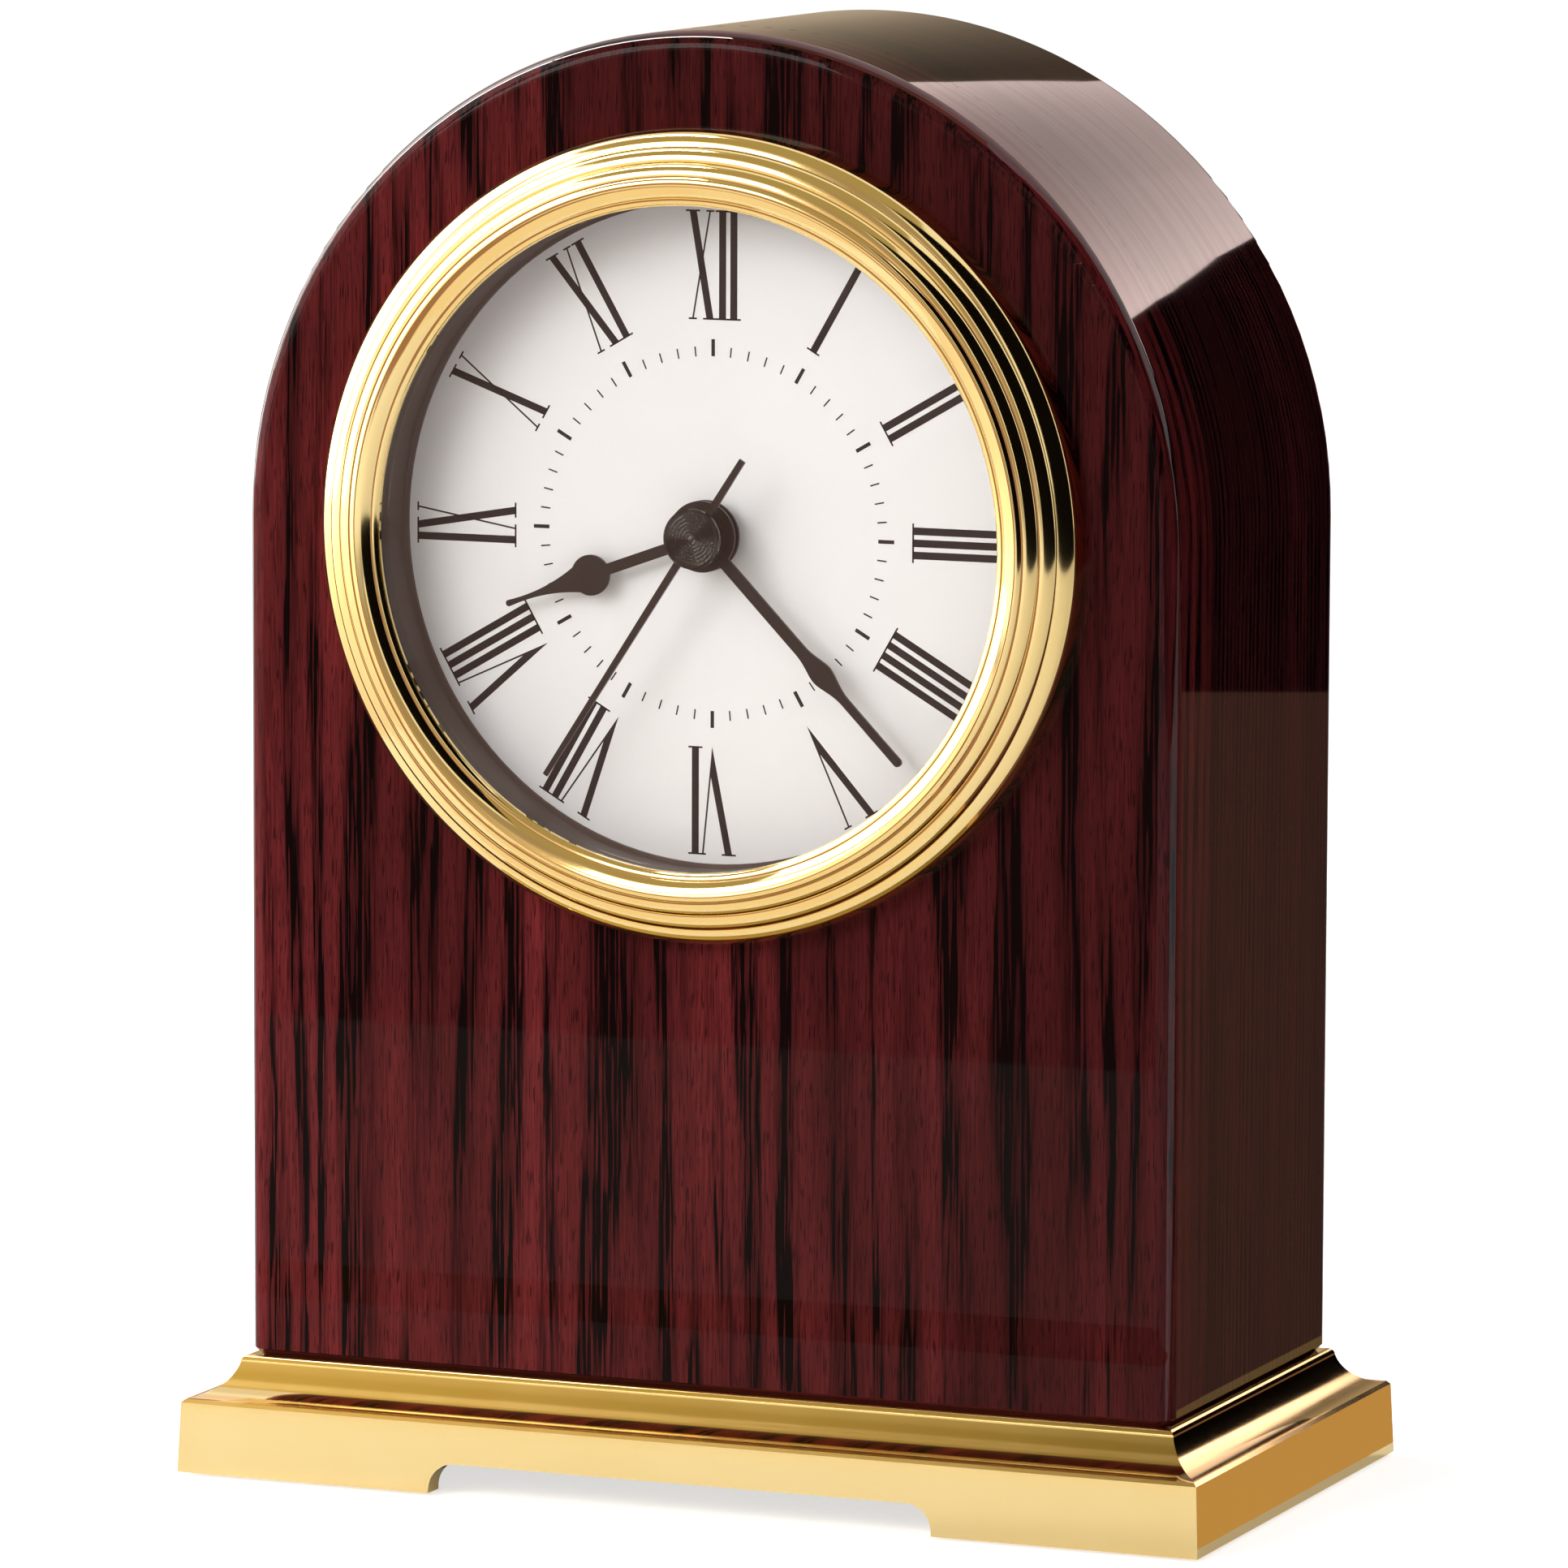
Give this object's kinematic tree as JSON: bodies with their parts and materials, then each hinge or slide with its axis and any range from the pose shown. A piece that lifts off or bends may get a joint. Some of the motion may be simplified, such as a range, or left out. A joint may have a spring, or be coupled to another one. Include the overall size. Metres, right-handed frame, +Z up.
{
  "type": "arched mantel clock",
  "caption": "Small arched mantel clock: lacquered wooden case on a stepped brass plinth, reeded brass bezel, glass, round dial, three hands and a battery movement with its wheel train.",
  "frame": {"origin": "middle of the footprint, on the surface that the clock stands on", "axes": "+Z up; the dial faces -Y; +X to the right as seen from the front"},
  "size_m": [0.127, 0.068, 0.17],
  "materials": {
    "polished_brass": "polished and lacquered",
    "felt": "pressed wool felt",
    "steel_screws": "zinc plated",
    "lacquered_wood": "dark red figured veneer under high gloss lacquer",
    "inner_wood": "plain inner board",
    "back_board": "stained hardboard, satin",
    "glass": "flat clear mineral glass",
    "dark_ring": "dark brown satin",
    "dial_white": "satin white enamel paint",
    "black_plastic": "moulded, fine satin",
    "grip_rubber": "matt",
    "wheel_plastic": "moulded acetal",
    "magnet": "ground grey magnet",
    "stator_steel": "pressed soft iron",
    "bobbin_plastic": "moulded nylon",
    "copper_wire": "enamelled copper winding",
    "circuit_green": "solder resist",
    "chip_black": "potting resin",
    "can_metal": "drawn can",
    "battery_jacket": "plain dark jacket",
    "spring_contact": "nickel plated",
    "hand_black": "very dark brown, satin"
  },
  "bodies": {
    "case": {"base_plinth": "polished_brass", "foot_pads": "felt", "base_screws": "steel_screws", "case_front": "lacquered_wood", "case_surround": "lacquered_wood", "case_bottom": "inner_wood", "back_panel": "back_board", "back_panel_screws": "steel_screws", "bezel": "polished_brass", "crystal": "glass", "reflector_ring": "dark_ring", "dial": "dial_white", "insert_cup": "black_plastic", "grip_ring": "grip_rubber", "cup_screws": "steel_screws", "movement_tray": "black_plastic", "train_plate": "bobbin_plastic", "movement_cover": "black_plastic", "movement_screws": "steel_screws", "stator_plate": "stator_steel", "coil_core": "stator_steel", "coil_bobbin": "bobbin_plastic", "coil_winding": "copper_wire", "circuit_board": "circuit_green", "clock_chip": "chip_black", "quartz_can": "can_metal", "positive_contact": "spring_contact", "negative_contact": "spring_contact"},
    "minute": {"minute_hand": "hand_black", "minute_arbor": "wheel_plastic"},
    "hour": {"hour_hand": "hand_black", "hour_wheel": "wheel_plastic"},
    "motion": {"motion_wheel": "wheel_plastic"},
    "knob": {"set_knob": "black_plastic"},
    "second": {"second_hand": "hand_black", "hand_cap": "hand_black", "seconds_wheel": "wheel_plastic"},
    "third": {"third_wheel": "wheel_plastic"},
    "centre": {"centre_wheel": "wheel_plastic"},
    "fourth": {"fourth_wheel": "wheel_plastic"},
    "rotor": {"rotor": "magnet"},
    "battery": {"battery": "battery_jacket"}
  },
  "joints": [
    {"name": "minute_spin", "type": "hinge", "parent": "case", "child": "minute", "pos_m": [0, 0, 0.1125], "axis": [0, 1, 0], "continuous": true},
    {"name": "hour_spin", "type": "hinge", "parent": "case", "child": "hour", "pos_m": [0, 0, 0.1125], "axis": [0, 1, 0], "continuous": true},
    {"name": "motion_spin", "type": "hinge", "parent": "case", "child": "motion", "pos_m": [0.006, 0, 0.1125], "axis": [0, 1, 0], "continuous": true},
    {"name": "knob_turn", "type": "hinge", "parent": "case", "child": "knob", "pos_m": [0.012, 0, 0.1125], "axis": [0, 1, 0], "continuous": true},
    {"name": "second_spin", "type": "hinge", "parent": "case", "child": "second", "pos_m": [0, 0, 0.1125], "axis": [0, 1, 0], "continuous": true},
    {"name": "third_spin", "type": "hinge", "parent": "case", "child": "third", "pos_m": [0.00499, 0, 0.10962], "axis": [0, 1, 0], "continuous": true},
    {"name": "centre_spin", "type": "hinge", "parent": "case", "child": "centre", "pos_m": [0, 0, 0.1125], "axis": [0, 1, 0], "continuous": true},
    {"name": "fourth_spin", "type": "hinge", "parent": "case", "child": "fourth", "pos_m": [-0.0052, 0, 0.1155], "axis": [0, 1, 0], "continuous": true},
    {"name": "rotor_spin", "type": "hinge", "parent": "case", "child": "rotor", "pos_m": [-0.00617, 0, 0.12101], "axis": [0, 1, 0], "continuous": true},
    {"name": "battery_slide", "type": "slide", "parent": "case", "child": "battery", "axis": [0, 1, 0], "range_m": [0, 0.05]}
  ],
  "couplings": [
    {"joint": "hour_spin", "follows": "minute_spin", "ratio": 0.083333},
    {"joint": "motion_spin", "follows": "minute_spin", "ratio": -0.33333},
    {"joint": "knob_turn", "follows": "minute_spin", "ratio": 1},
    {"joint": "third_spin", "follows": "second_spin", "ratio": -0.13333},
    {"joint": "centre_spin", "follows": "second_spin", "ratio": 0.016667},
    {"joint": "fourth_spin", "follows": "second_spin", "ratio": -5},
    {"joint": "rotor_spin", "follows": "second_spin", "ratio": 30}
  ]
}
